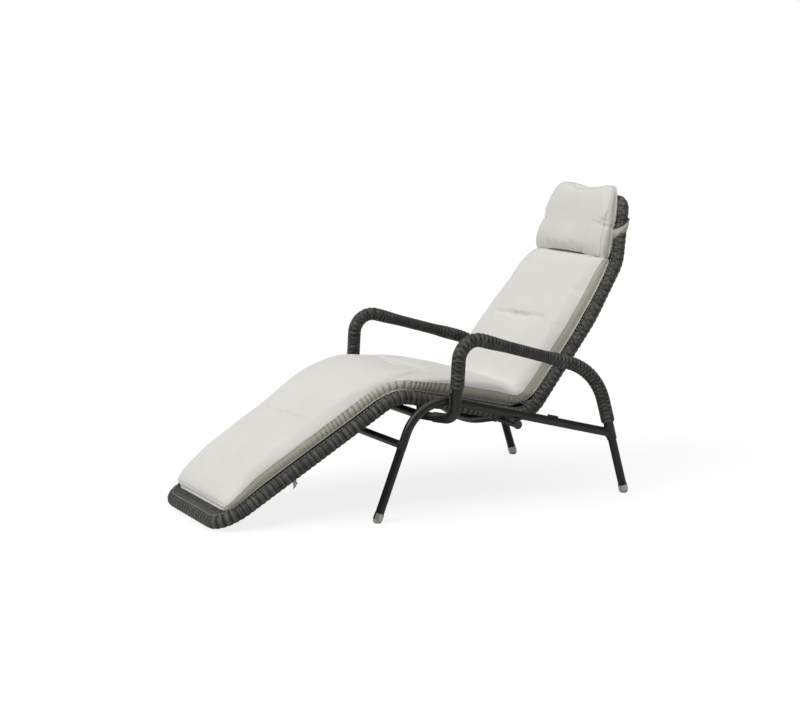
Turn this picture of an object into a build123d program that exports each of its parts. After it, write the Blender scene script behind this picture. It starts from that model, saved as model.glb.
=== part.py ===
from build123d import *
import os

# A sun chair: a base of bent tubes with woven armrests, and a long woven shell that tilts in it.
# X runs across the chair, with +X on the sitter's left. Y runs from the foot end to the head.
# Z is up. Sizes are in millimetres. Every piece on the left has a mirrored twin on the right.
# The sections below give places in a working frame; the last lines move the whole chair so that
# its origin lies on the floor under the middle of its box.

os.makedirs("parts", exist_ok=True)

# Tubes of the base
rail_diameter = 28.0
rail_wall = 1.8
leg_diameter = 27.0
leg_wall = 1.8
arm_diameter = 32.0
arm_wall = 2.4
cross_wall = 2.0
low_bar_diameter = 24.0
slip_fit = 0.1
touch_gap = 0.2

# Feet, where each leg's axis meets the floor
front_foot_x = 319.0
front_foot_y = -252.0
rear_foot_x = 340.0
rear_foot_y = 645.0

# Side rail: the front leg rises to a bend and the rail runs down to the rear leg
rail_bend_x = 321.0
rail_bend_y = -105.0
rail_bend_z = 381.0
rail_bend_radius = 140.0
rail_drop = 0.258
leg_seam_height = 216.0
leg_spigot_length = 45.0
low_bar_height = 230.0

# Arm hoop: corners of its line, with the radius of each bend
arm_x = 352.5
arm_rear_corner_y = 518.0
arm_rear_corner_z = 414.5
arm_rear_radius = 200.0
arm_front_corner_y = 18.0
arm_front_corner_z = 560.0
arm_front_radius = 64.0
arm_bottom_y = 2.5
arm_bottom_radius = 38.0
arm_end_height = 184.0
arm_seam_x = 283.0
arm_seam_y = -33.0
cross_tube_height = 300.0
cross_tube_front = -55.0
cross_bend_radius = 220.0
cross_spigot_length = 30.0

# Woven wrap of the armrests: fine on the straight top, coarse round the bends
wrap_fine = 2.4
wrap_coarse = 6.0
wrap_change = 50.0
wrap_rear_height = 240.0
wrap_front_height = 392.0
wrap_front_y = 108.0
wrap_rear_y = 372.0

# Rear leg in the arm tube
rear_leg_inside = 50.0

# Feet
ferrule_length = 20.0
ferrule_wall = 1.6
ferrule_floor = 3.0
ferrule_lift = 10.0
glide_radius = 14.0
glide_neck_radius = 8.0

# Pivot of the shell
pivot_y = 232.0
pivot_z = 261.8
axle_diameter = 27.0
axle_end_diameter = 20.0
axle_wall = 2.5
pin_diameter = 14.0
pin_wall = 3.5
axle_clearance = 0.05
bushing_wall = 1.5
bushing_flange = 2.0
bushing_flange_rim = 3.0
bushing_length = 16.0
barrel_wall = 2.5
barrel_inner_x = 284.0
barrel_outer_x = 340.0
neck_width = 30.0
neck_depth = 18.0
cap_gap = 0.4
cap_thickness = 7.0
cap_diameter = 28.0
cap_edge = 2.5
cap_spigot = 12.0
collar_diameter = 24.0
collar_width = 8.0
collar_gap = 0.5
axle_step_x = 206.0
axle_step_length = 6.0
axle_plug_length = 10.0
axle_bend_x = 198.0
axle_bend_radius = 50.0
axle_bow_drop = 46.0
axle_bow_radius = 520.0
web_thickness = 3.0
web_rise = 8.0

# Shell: line of the rim's centre from the foot end to the head
rim_radius = 20.0
shell_tube_radius = 12.5
shell_tube_wall = 2.0
foot_half_width = 205.0
side_half_width = 245.0
neck_half_width = 213.0
head_half_width = 178.0
foot_y = -718.0
foot_z = 23.0
foot_corner_radius = 62.0
instep_x = 212.0
instep_y = -640.0
instep_z = 60.0
instep_radius = 300.0
knee_y = -143.0
knee_z = 368.5
knee_radius = 120.0
seat_corner_y = 334.5
seat_corner_z = 262.0
seat_corner_radius = 95.0
back_bend_y = 564.0
back_bend_z = 561.0
back_bend_radius = 500.0
neck_y = 690.0
neck_z = 736.0
neck_radius = 150.0
head_y = 735.0
head_z = 930.0
head_corner_radius = 35.0

# Woven skin, at a height above the rim's centre line
skin_thickness = 8.0
skin_top = 17.0

# Hidden cross bars of the shell, at a share of the way along each straight field
cross_bar_radius = 9.5
leg_bar_share = 0.42
knee_bar_share = 0.12
lumbar_bar_share = 0.30
back_bar_share = 0.45

# Rubber pieces
buffer_length = 26.0
buffer_width = 24.0
buffer_height = 34.25
rubber_gap = 0.3
pad_length = 32.0
pad_width = 14.0
pad_height = 5.0
pad_y = 362.0

# Long cushion on the skin. Rows: place along the shell, then width, edge lift, gusset and crown
cushion_half_width = 238.0
cushion_edge_lift = 10.0
cushion_side = 29.0
cushion_crown = 26.0
soft_press = 1.5
soft_corner_radius = 105.0
gusset_bulge = 2.5
edge_run = 42.0
shoulder_run = 33.0
shoulder_share = 0.78
cushion_row_shares = [
    (0.0225, 0.77, 1.00, 0.60, 0.15),
    (0.0255, 0.82, 0.90, 0.85, 0.40),
    (0.0330, 0.86, 0.90, 1.00, 0.75),
    (0.0600, 0.88, 1.00, 1.05, 0.95),
    (0.1200, 0.90, 1.00, 1.05, 1.00),
    (0.2080, 0.94, 1.00, 1.00, 0.95),
    (0.2800, 0.98, 0.90, 0.95, 1.12),
    (0.3200, 0.99, 0.70, 0.90, 0.97),
    (0.3480, 1.00, 0.80, 0.90, 0.78),
    (0.3920, 1.00, 2.00, 0.95, 0.55),
    (0.4300, 0.99, 3.00, 1.05, 0.50),
    (0.5100, 0.99, 3.30, 1.05, 0.55),
    (0.5400, 0.99, 2.90, 1.05, 0.58),
    (0.5700, 1.00, 1.70, 1.05, 0.75),
    (0.5950, 1.00, 0.80, 1.10, 1.00),
    (0.6300, 1.01, 0.50, 1.15, 1.12),
    (0.6700, 1.02, 0.40, 1.20, 1.18),
    (0.7310, 1.02, 0.40, 1.20, 1.12),
    (0.8000, 0.98, 0.50, 1.15, 1.00),
    (0.8580, 0.91, 0.60, 1.05, 0.80),
    (0.8720, 0.88, 0.70, 0.95, 0.55),
    (0.8800, 0.86, 0.70, 0.80, 0.25),
]
tuck_length = 260.0
tuck_depth = 9.0
tuck_shares = [0.2080, 0.3920, 0.7310]

# Head pillow, in rows like those of the cushion, reaching past the head bar
pillow_half_width = 203.0
pillow_edge_lift = 6.0
pillow_side = 30.0
pillow_crown = 22.0
pillow_reach = 46.0
pillow_row_shares = [
    (0.8805, 0.96, 1.00, 0.75, 0.30),
    (0.8880, 1.00, 1.00, 0.95, 0.80),
    (0.9100, 0.99, 1.00, 1.00, 1.00),
    (0.9500, 0.90, 1.00, 0.95, 0.95),
    (0.9850, 0.78, 1.00, 0.80, 0.80),
    (0.9960, 0.72, 1.00, 0.60, 0.50),
    (1.0000, 0.68, 1.00, 0.45, 0.25),
]
saddle_depth = 9.0

# Strap of the pillow, and ties of the cushion at a share of the leg field
strap_thickness = 1.6
strap_width = 32.0
strap_height = 846.0
tie_width = 14.0
tie_tail = 26.0
tie_share = 0.30

# Points of the base on the left side
across = Vector(1, 0, 0)
front_foot = Vector(front_foot_x, front_foot_y, 0)
rail_bend = Vector(rail_bend_x, rail_bend_y, rail_bend_z)
rear_foot = Vector(rear_foot_x, rear_foot_y, 0)
arm_rear_corner = Vector(arm_x, arm_rear_corner_y, arm_rear_corner_z)
arm_front_corner = Vector(arm_x, arm_front_corner_y, arm_front_corner_z)
arm_bottom_corner = Vector(arm_x, arm_bottom_y, cross_tube_height)
arm_seam = Vector(arm_seam_x, arm_seam_y, cross_tube_height)

# Radii that several pieces share
rail_radius = rail_diameter / 2
leg_radius = leg_diameter / 2
arm_radius = arm_diameter / 2
arm_bore = arm_radius - arm_wall
axle_radius = axle_diameter / 2
axle_end_radius = axle_end_diameter / 2
axle_end_bore = axle_end_radius - axle_wall
pin_radius = pin_diameter / 2
bushing_bore = pin_radius + axle_clearance
barrel_bore = bushing_bore + bushing_wall
barrel_radius = barrel_bore + barrel_wall
skin_under = skin_top - skin_thickness


def at_height(low, high, height):
    """The point at a height on the line through two points."""
    return low + (high - low) * ((height - low.Z) / (high.Z - low.Z))


def round_section(path, radius):
    """A round face square to the start of a path."""
    return Plane(origin=path @ 0, z_dir=path % 0) * Circle(radius)


def rod(path, radius):
    """A solid round bar along a path."""
    return sweep(round_section(path, radius), path=path)


def tube(path, radius, bore):
    """A round tube along a path."""
    return rod(path, radius) - rod(path, bore)


def twin(solid):
    """The same piece on the right side."""
    return mirror(solid, about=Plane.YZ)


def both(solid):
    """A piece that stands once on each side, as two solids."""
    return Compound(children=[*solid.solids(), *twin(solid).solids()])


def largest(shape):
    """The main solid of a shape that a cut has left in several."""
    return max(shape.solids(), key=lambda one: one.volume)


# Base: line of the rear end of the rail, where it meets the rear leg
rear_lean = (arm_rear_corner_y - rear_foot_y) / arm_rear_corner_z
rail_end_height = (rail_bend_z - rail_drop * (rear_foot_y - rail_bend_y)) / (1 + rail_drop * rear_lean)
rail_end = at_height(rear_foot, arm_rear_corner, rail_end_height)
leg_seam = at_height(front_foot, rail_bend, leg_seam_height)
arm_rear_end = at_height(rear_foot, arm_rear_corner, arm_end_height)
rail_path = FilletPolyline(leg_seam, rail_bend, rail_end, radius=rail_bend_radius)
arm_path = FilletPolyline(
    arm_rear_end, arm_rear_corner, arm_front_corner, arm_bottom_corner, arm_seam,
    radius=[arm_rear_radius, arm_front_radius, arm_bottom_radius],
)
rail_solid = rod(rail_path, rail_radius)
arm_solid = rod(arm_path, arm_radius)


def rail_point(y):
    """The point on the rail's straight stretch at a place along the chair."""
    share = (y - rail_bend.Y) / (rail_end.Y - rail_bend.Y)
    return rail_bend + (rail_end - rail_bend) * share


def side_rail():
    """Front leg top and rail in one bent tube, coped round the arm tube that it is welded to."""
    return largest(tube(rail_path, rail_radius, rail_radius - rail_wall) - arm_solid)


def arm_tube():
    """Hoop of the armrest, from the rear leg over the front and in under the seat."""
    return tube(arm_path, arm_radius, arm_bore)


def top_point(y):
    """The point on the straight top of the arm hoop at a place along the chair."""
    share = (y - arm_front_corner.Y) / (arm_rear_corner.Y - arm_front_corner.Y)
    return arm_front_corner + (arm_rear_corner - arm_front_corner) * share


def arm_wrap():
    """Woven wrap of the armrest: a fine sleeve, with coarse sleeves round both bends."""
    rear = at_height(rear_foot, arm_rear_corner, wrap_rear_height)
    front = at_height(arm_bottom_corner, arm_front_corner, wrap_front_height)
    fine = arm_radius + wrap_fine
    coarse = arm_radius + wrap_coarse
    whole = FilletPolyline(
        rear, arm_rear_corner, arm_front_corner, front, radius=[arm_rear_radius, arm_front_radius]
    )
    wrap = rod(whole, fine)
    run = (arm_rear_corner - arm_front_corner).normalized()
    ends = [
        (front, arm_front_corner, top_point(wrap_front_y), arm_front_radius, run),
        (rear, arm_rear_corner, top_point(wrap_rear_y), arm_rear_radius, run * -1),
    ]
    for start, corner, stop, radius, way in ends:
        wrap += rod(FilletPolyline(start, corner, stop, radius=radius), coarse)
        cone = loft([
            Plane(origin=stop, z_dir=way) * Circle(coarse),
            Plane(origin=stop + way * wrap_change, z_dir=way) * Circle(fine),
        ])
        wrap += cone
    return largest(wrap - arm_solid)


def leg_line(foot, top):
    """Unit vector up a leg from its foot."""
    return (top - foot).normalized()


def front_leg():
    """Straight lower end of a front leg, with the spigot that goes up into the bent tube."""
    up = leg_line(front_foot, rail_bend)
    start = front_foot + up * (ferrule_lift + ferrule_floor)
    spigot_radius = rail_radius - rail_wall - slip_fit
    tail = leg_seam - up * leg_spigot_length / 2
    body = tube(Line(start, leg_seam), leg_radius, leg_radius - leg_wall)
    spigot = tube(Line(tail, leg_seam + up * leg_spigot_length), spigot_radius, spigot_radius - leg_wall)
    return body + spigot


def rear_leg():
    """Straight rear leg that goes up into the arm tube."""
    up = leg_line(rear_foot, arm_rear_corner)
    start = rear_foot + up * (ferrule_lift + ferrule_floor)
    return tube(Line(start, arm_rear_end + up * rear_leg_inside), leg_radius, leg_radius - leg_wall)


def ferrule(foot, top):
    """Metal cup over the end of a leg, with a hole in its floor for the glide."""
    up = leg_line(foot, top)
    start = foot + up * ferrule_lift
    cup = rod(Line(start, start + up * ferrule_length), leg_radius + ferrule_wall)
    socket = rod(Line(start + up * ferrule_floor, start + up * ferrule_length), leg_radius + slip_fit)
    hole = rod(Line(start, start + up * ferrule_floor), glide_neck_radius)
    return cup - socket - hole


def glide(foot, top):
    """Plastic glide with a round foot cut flat on the floor, and a neck in the ferrule's floor."""
    up = leg_line(foot, top)
    start = foot + up * ferrule_lift
    ball = Pos(*start) * Sphere(glide_radius)
    ball = split(ball, bisect_by=Plane(origin=start, z_dir=up), keep=Keep.BOTTOM)
    ball = split(ball, bisect_by=Plane.XY, keep=Keep.TOP)
    return ball + rod(Line(start, start + up * ferrule_floor), glide_neck_radius)


def cross_tube():
    """Front cross tube, pushed into both arm tubes and set forward between them."""
    run = (arm_seam - arm_bottom_corner).normalized()
    bend = arm_seam + run * ((cross_tube_front - arm_seam.Y) / run.Y)
    inside = arm_seam - run * cross_spigot_length
    path = FilletPolyline(
        inside, bend, Vector(-bend.X, bend.Y, bend.Z), Vector(-inside.X, inside.Y, inside.Z),
        radius=cross_bend_radius,
    )
    radius = arm_bore - slip_fit
    return path, radius, tube(path, radius, radius - cross_wall)


def low_bar():
    """Low crossbar between the front legs, coped round both bent tubes."""
    left = at_height(front_foot, rail_bend, low_bar_height)
    line = Line(left, Vector(-left.X, left.Y, left.Z))
    radius = low_bar_diameter / 2
    return largest(tube(line, radius, radius - leg_wall) - rail_solid - twin(rail_solid))


def pivot_line(low_x, high_x):
    """A stretch of the pivot's line on the left side."""
    return Line((low_x, pivot_y, pivot_z), (high_x, pivot_y, pivot_z))


def pivot_housing():
    """Barrel of the pivot with the neck that is welded to the underside of the rail."""
    top = rail_point(pivot_y).Z - rail_radius + neck_depth / 4
    barrel = rod(pivot_line(barrel_inner_x, barrel_outer_x), barrel_radius)
    neck = Box(neck_width, neck_depth, top - pivot_z, align=(Align.MAX, Align.CENTER, Align.MIN))
    housing = barrel + Pos(barrel_outer_x, pivot_y, pivot_z) * neck - rail_solid
    return largest(housing - rod(pivot_line(barrel_inner_x, barrel_outer_x), barrel_bore))


def bushing(face_x, inwards):
    """Flanged bushing at one end of a barrel."""
    end_x = face_x + inwards * bushing_length
    flange_x = face_x - inwards * bushing_flange
    sleeve = rod(pivot_line(face_x, end_x), barrel_bore)
    flange = rod(pivot_line(flange_x, face_x), barrel_radius + bushing_flange_rim / 2)
    return sleeve + flange - rod(pivot_line(flange_x, end_x), bushing_bore)


def bushings():
    """Two bushings in the barrel."""
    return Compound(children=[bushing(barrel_inner_x, 1), bushing(barrel_outer_x, -1)])


# Shell: the rim's line on the left half, from the middle of the foot bar to the middle of the head bar
shell_points = [
    Vector(0, foot_y, foot_z),
    Vector(foot_half_width, foot_y, foot_z),
    Vector(instep_x, instep_y, instep_z),
    Vector(side_half_width, knee_y, knee_z),
    Vector(side_half_width, seat_corner_y, seat_corner_z),
    Vector(side_half_width, back_bend_y, back_bend_z),
    Vector(neck_half_width, neck_y, neck_z),
    Vector(head_half_width, head_y, head_z),
    Vector(0, head_y, head_z),
]
shell_radii = [
    foot_corner_radius, instep_radius, knee_radius, seat_corner_radius,
    back_bend_radius, neck_radius, head_corner_radius,
]
shell_path = FilletPolyline(*shell_points, radius=shell_radii)
shell_core = rod(shell_path, shell_tube_radius)
rim_solid = rod(shell_path, rim_radius)

# Side view of the same line, from the foot bar to the head bar
profile_points = [Vector(0, point.Y, point.Z) for point in shell_points[1:-1]]
profile_radii = shell_radii[1:-1]


def unit(start, end):
    """Unit vector from one point to the next."""
    return (end - start).normalized()


def lift_of(direction):
    """The direction square to a stretch of the profile, on the sitter's side."""
    return Vector(0, -direction.Z, direction.Y)


def raised_profile(height, reach=0, corner_radius=None):
    """The side view moved to the sitter's side by a height, and drawn out past the head by a reach."""
    runs = [unit(a, b) for a, b in zip(profile_points[:-1], profile_points[1:])]
    lifts = [lift_of(run) for run in runs]
    points = [profile_points[0] + lifts[0] * height]
    radii = []
    for i, radius in enumerate(profile_radii):
        first, second = lifts[i], lifts[i + 1]
        points.append(profile_points[i + 1] + (first + second) * (height / (1 + first.dot(second))))
        turns_up = runs[i].Y * runs[i + 1].Z - runs[i].Z * runs[i + 1].Y > 0
        radii.append(radius - height if turns_up else radius + height)
    points.append(profile_points[-1] + lifts[-1] * height + runs[-1] * reach)
    if corner_radius:
        radii[2] = corner_radius
    return FilletPolyline(*points, radius=radii)


def skin():
    """Woven skin between the rims, as one sheet of even thickness."""
    low, high = raised_profile(skin_under), raised_profile(skin_top)
    ends = [Line(low @ 0, high @ 0), Line(low @ 1, high @ 1)]
    face = make_face([*low.edges(), *high.edges(), *ends])
    sheet = extrude(face, amount=side_half_width, dir=across, both=True)
    return largest(sheet - rim_solid - twin(rim_solid))


def bend_plane(index):
    """The plane across the shell that halves one of its bends."""
    before, here, after = profile_points[index - 1], profile_points[index], profile_points[index + 1]
    return Plane(origin=here, z_dir=unit(before, here) + unit(here, after))


knee_plane = bend_plane(2)
seat_plane = bend_plane(3)


def field_frame(index, share, height):
    """A frame on a straight field of the left rim: Z runs along the rim, Y to the sitter's side."""
    start, end = shell_points[index], shell_points[index + 1]
    run = unit(start, end)
    lift = lift_of(unit(Vector(0, start.Y, start.Z), Vector(0, end.Y, end.Z)))
    return Plane(origin=start + (end - start) * share + lift * height, x_dir=lift.cross(run), z_dir=run)


def cross_bar_line(index, share):
    """Line of a hidden cross bar that bears against the underside of the skin."""
    place = field_frame(index, share, skin_under - cross_bar_radius - touch_gap).origin
    return Line(place, Vector(-place.X, place.Y, place.Z))


bar_lines = {
    "leg_cross_bar": cross_bar_line(2, leg_bar_share),
    "knee_cross_bar": cross_bar_line(3, knee_bar_share),
    "lumbar_cross_bar": cross_bar_line(4, lumbar_bar_share),
    "back_cross_bar": cross_bar_line(5, back_bar_share),
}


def cross_bar(line):
    """Cross bar between the side tubes of the shell, coped round both."""
    bar = tube(line, cross_bar_radius, cross_bar_radius - shell_tube_wall)
    return largest(bar - shell_core - twin(shell_core))


axle_neck_x = axle_step_x + axle_step_length
collar_outer_x = barrel_inner_x - bushing_flange - collar_gap
axle_end_x = collar_outer_x - collar_width
pin_end_x = barrel_outer_x + bushing_flange + cap_gap


def axle_path():
    """Line of the bowed tube, from one straight end through the low middle to the other."""
    left = [Vector(axle_neck_x, pivot_y, pivot_z), Vector(axle_bend_x, pivot_y, pivot_z)]
    right = [Vector(-p.X, p.Y, p.Z) for p in reversed(left)]
    bottom = Vector(0, pivot_y, pivot_z - axle_bow_drop)
    return FilletPolyline(*left, bottom, *right, radius=[axle_bend_radius, axle_bow_radius, axle_bend_radius])


def axle():
    """Bowed axle tube under the woven seat, with narrower ends through the rim and a pin in each pivot."""
    step = tube(pivot_line(axle_step_x, axle_neck_x), axle_radius, axle_end_bore)
    neck = tube(pivot_line(axle_step_x, axle_end_x), axle_end_radius, axle_end_bore)
    plug = rod(pivot_line(axle_end_x - axle_plug_length, axle_end_x), axle_end_radius)
    pin = tube(pivot_line(axle_end_x - axle_plug_length, pin_end_x), pin_radius, pin_radius - pin_wall)
    end = step + neck + plug + pin
    return largest(tube(axle_path(), axle_radius, axle_radius - axle_wall) + end + twin(end))


def axle_web():
    """Upright plate welded into the hollow of the bow, with a straight top edge."""
    depth = axle_bow_drop + web_rise
    plate = Box(axle_bend_x * 2, web_thickness, depth, align=(Align.CENTER, Align.CENTER, Align.MAX))
    plate = Pos(0, pivot_y, pivot_z + web_rise) * plate
    pieces = (plate - rod(axle_path(), axle_radius)).solids()
    return max(pieces, key=lambda one: one.bounding_box().max.Z - abs(one.center().X))


def axle_cap():
    """Round cap on the end of the axle, with a spigot in its pin."""
    disc = rod(pivot_line(pin_end_x, pin_end_x + cap_thickness), cap_diameter / 2)
    rim = disc.edges().filter_by(GeomType.CIRCLE).sort_by(Axis.X)[-1]
    disc = fillet(rim, cap_edge)
    return disc + rod(pivot_line(pin_end_x - cap_spigot, pin_end_x), pin_radius - pin_wall - slip_fit)


def axle_collar():
    """Collar on the pin beside the barrel, which keeps the shell in the middle."""
    return tube(pivot_line(axle_end_x, collar_outer_x), collar_diameter / 2, pin_radius)


axle_room = rod(pivot_line(axle_neck_x, axle_end_x), axle_end_radius + touch_gap)


def rim_half():
    """Woven rim on the left half, open where the axle and the cross bars go through it."""
    half = rim_solid - shell_core - axle_room
    for line in bar_lines.values():
        half -= rod(line, cross_bar_radius)
    return largest(half)


def rim_pieces():
    """The rim in four pieces: left side, foot end and head end, with the right side as a twin."""
    half = rim_half()
    foot_cut = Plane(origin=(0, foot_y + foot_corner_radius, 0), z_dir=(0, 1, 0))
    head_cut = Plane(origin=(0, 0, head_z - head_corner_radius), z_dir=(0, 0, 1))
    side = split(split(half, bisect_by=foot_cut, keep=Keep.TOP), bisect_by=head_cut, keep=Keep.BOTTOM)
    foot = split(half, bisect_by=foot_cut, keep=Keep.BOTTOM)
    head = split(half, bisect_by=head_cut, keep=Keep.TOP)
    return largest(side), largest(foot + twin(foot)), largest(head + twin(head))


def cross_buffer(cross_path, cross_radius):
    """Rubber block on the front cross tube, under the rim."""
    rim_room = rod(shell_path, rim_radius + rubber_gap)
    block = Box(buffer_width, buffer_length, buffer_height, align=(Align.CENTER, Align.CENTER, Align.MIN))
    block = Pos(side_half_width, cross_tube_front, cross_tube_height) * block
    return largest(block - rod(cross_path, cross_radius) - rim_room - arm_solid)


def rail_pad():
    """Rubber pad on top of the rail."""
    run = unit(rail_bend, rail_end)
    place = Plane(origin=rail_point(pad_y), x_dir=run, z_dir=run.cross(across) * -1)
    block = Box(pad_length, pad_width, rail_radius + pad_height, align=(Align.CENTER, Align.CENTER, Align.MIN))
    pad = place * block
    return largest(pad - rail_solid)


# Soft pieces: their under sides are pressed flat on the skin, and they bridge the seat corner
soft_path = raised_profile(skin_top - soft_press, pillow_reach, soft_corner_radius)


def pad_face(share, half_width, lift, side, crown):
    """Outline across a soft piece: flat below with lifted edges, gussets, shoulders and a crown."""
    low, high = soft_press + lift, soft_press + lift + side
    top = high + crown * shoulder_share
    half = [
        (half_width - edge_run, 0),
        (half_width - edge_run / 2, low / 4),
        (half_width, low),
        (half_width + gusset_bulge, (low + high) / 2),
        (half_width, high),
        (half_width - shoulder_run / 3, high + crown * shoulder_share / 2),
        (half_width - shoulder_run, top),
    ]
    other = [(-x, y) for x, y in half]
    face = make_face([
        Line(other[0], half[0]),
        ThreePointArc(half[0], half[1], half[2]),
        ThreePointArc(half[2], half[3], half[4]),
        ThreePointArc(half[4], half[5], half[6]),
        ThreePointArc(half[6], (0, high + crown), other[6]),
        ThreePointArc(other[6], other[5], other[4]),
        ThreePointArc(other[4], other[3], other[2]),
        ThreePointArc(other[2], other[1], other[0]),
    ])
    return Plane(origin=soft_path @ share, x_dir=across * -1, z_dir=soft_path % share) * face


def soft_loft(half_width, lift, side, crown, rows, body):
    """A soft piece through its rows, pressed on the skin and on the rim where it lies on it."""
    faces = [
        pad_face(place, half_width * shares[0], lift * shares[1], side * shares[2], crown * shares[3])
        for place, *shares in rows
    ]
    return loft(faces) - rim_solid - twin(rim_solid) - body


def tuck(share):
    """Spindle that sinks a sewn tuck into the crown of the cushion."""
    half = tuck_length / 2
    outline = make_face([ThreePointArc((-half, 0), (0, tuck_depth), (half, 0)), Line((half, 0), (-half, 0))])
    place = Plane(origin=soft_path @ share, x_dir=across * -1, z_dir=soft_path % share)
    row = [row for row in cushion_row_shares if row[0] == share][0]
    top = soft_press + cushion_edge_lift * row[2] + cushion_side * row[3] + cushion_crown * row[4]
    return place * Pos(0, top, 0) * revolve(outline, axis=Axis.X)


def long_cushion(body):
    """Long cushion from the foot end to the neck, with three sewn tucks."""
    pad = soft_loft(
        cushion_half_width, cushion_edge_lift, cushion_side, cushion_crown, cushion_row_shares, body
    )
    for share in tuck_shares:
        pad -= tuck(share)
    return largest(pad)


def head_pillow(body):
    """Head pillow above the cushion, with a shallow saddle in its top edge."""
    pillow = soft_loft(
        pillow_half_width, pillow_edge_lift, pillow_side, pillow_crown, pillow_row_shares, body
    )
    top_half_width = pillow_half_width * pillow_row_shares[-1][1]
    saddle_radius = (top_half_width ** 2 + saddle_depth ** 2) / (2 * saddle_depth)
    low = pillow.bounding_box().max.Z - saddle_depth
    saddle = Plane(origin=(0, head_y, low + saddle_radius), z_dir=(0, 1, 0)) * Cylinder(
        saddle_radius, top_half_width * 2
    )
    return largest(pillow - saddle)


def cushion_tie(body):
    """Tie ribbon round the left rim, from the cushion's edge to the underside, with a hanging end."""
    place = field_frame(2, tie_share, 0)
    inner = rim_radius + touch_gap
    ring = extrude(Circle(inner + strap_thickness) - Circle(inner), amount=tie_width / 2, both=True)
    tail = Box(strap_thickness, tie_tail, tie_width, align=(Align.CENTER, Align.MAX, Align.CENTER))
    return largest(place * (ring + Pos(0, -inner, 0) * tail) - body)


def pillow_strap(body):
    """Strap of the pillow, round both rims and across the back of the shell."""
    inner = rim_radius + touch_gap
    outer = inner + strap_thickness
    share = (strap_height - neck_z) / (head_z - neck_z)
    middle = profile_points[-2] + (profile_points[-1] - profile_points[-2]) * share
    place = Plane(origin=middle, x_dir=across * -1, z_dir=unit(profile_points[-2], profile_points[-1]))
    x = neck_half_width + (head_half_width - neck_half_width) * share
    outline = make_face([
        Line((-x, -outer), (x, -outer)),
        ThreePointArc((x, -outer), (x + outer, 0), (x, outer)),
        Line((x, outer), (x, inner)),
        ThreePointArc((x, inner), (x + inner, 0), (x, -inner)),
        Line((x, -inner), (-x, -inner)),
        ThreePointArc((-x, -inner), (-x - inner, 0), (-x, inner)),
        Line((-x, inner), (-x, outer)),
        ThreePointArc((-x, outer), (-x - outer, 0), (-x, -outer)),
    ])
    strap = extrude(place * outline, amount=strap_width / 2, both=True)
    return largest(strap - body - rim_solid - twin(rim_solid))


def build():
    """All pieces by name, in the working frame."""
    parts = {}
    for name, maker in {
        "side_rail": side_rail,
        "front_leg": front_leg,
        "arm_tube": arm_tube,
        "arm_weave": arm_wrap,
        "rear_leg": rear_leg,
        "pivot_housing": pivot_housing,
    }.items():
        piece = maker()
        parts[name + "_left"] = piece
        parts[name + "_right"] = twin(piece)
    cross_path, cross_radius, cross_solid = cross_tube()
    parts["front_cross_tube"] = cross_solid
    parts["low_crossbar"] = low_bar()
    feet = [(front_foot, rail_bend), (rear_foot, arm_rear_corner)]
    parts["foot_ferrules"] = both(Compound(children=[ferrule(*leg) for leg in feet]))
    parts["foot_glides"] = both(Compound(children=[glide(*leg) for leg in feet]))
    parts["pivot_bushings"] = both(bushings())
    parts["cross_tube_buffers"] = both(cross_buffer(cross_path, cross_radius))
    parts["rail_pads"] = both(rail_pad())

    shell_half = shell_core - rod(shell_path, shell_tube_radius - shell_tube_wall)
    parts["shell_tube_left"] = shell_half
    parts["shell_tube_right"] = twin(shell_half)
    for name, line in bar_lines.items():
        parts[name] = cross_bar(line)
    parts["axle_tube"] = axle()
    parts["axle_web"] = axle_web()
    parts["axle_collars"] = both(axle_collar())
    parts["axle_end_caps"] = both(axle_cap())
    side, foot, head = rim_pieces()
    parts["edge_weave_left"] = side
    parts["edge_weave_right"] = twin(side)
    parts["edge_weave_foot"] = foot
    parts["edge_weave_head"] = head
    sheet = skin()
    upper = split(sheet, bisect_by=knee_plane, keep=Keep.TOP)
    parts["leg_skin"] = largest(split(sheet, bisect_by=knee_plane, keep=Keep.BOTTOM))
    parts["seat_skin"] = largest(split(upper, bisect_by=seat_plane, keep=Keep.BOTTOM))
    parts["back_skin"] = largest(split(upper, bisect_by=seat_plane, keep=Keep.TOP))
    cushion = long_cushion(sheet)
    pillow = head_pillow(sheet + cushion)
    parts["long_cushion"] = cushion
    parts["head_pillow"] = pillow
    parts["cushion_ties"] = both(cushion_tie(parts["leg_skin"] + cushion))
    parts["pillow_strap"] = pillow_strap(pillow + parts["back_skin"])
    return parts


parts = build()
whole = Compound(list(parts.values())).bounding_box()
move = Pos(-whole.center().X, -whole.center().Y, -whole.min.Z)
for name, piece in parts.items():
    solids = [move * solid for solid in piece.solids()]
    export_step(solids[0] if len(solids) == 1 else Compound(children=solids), f"parts/{name}.step")
print("moved by", [round(v, 4) for v in move.position])
print("size", [round(v, 3) for v in whole.size])
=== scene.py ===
import math

import bmesh
import bpy
import numpy as np
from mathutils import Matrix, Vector, noise
from mathutils.bvhtree import BVHTree
from mathutils.kdtree import KDTree

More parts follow.
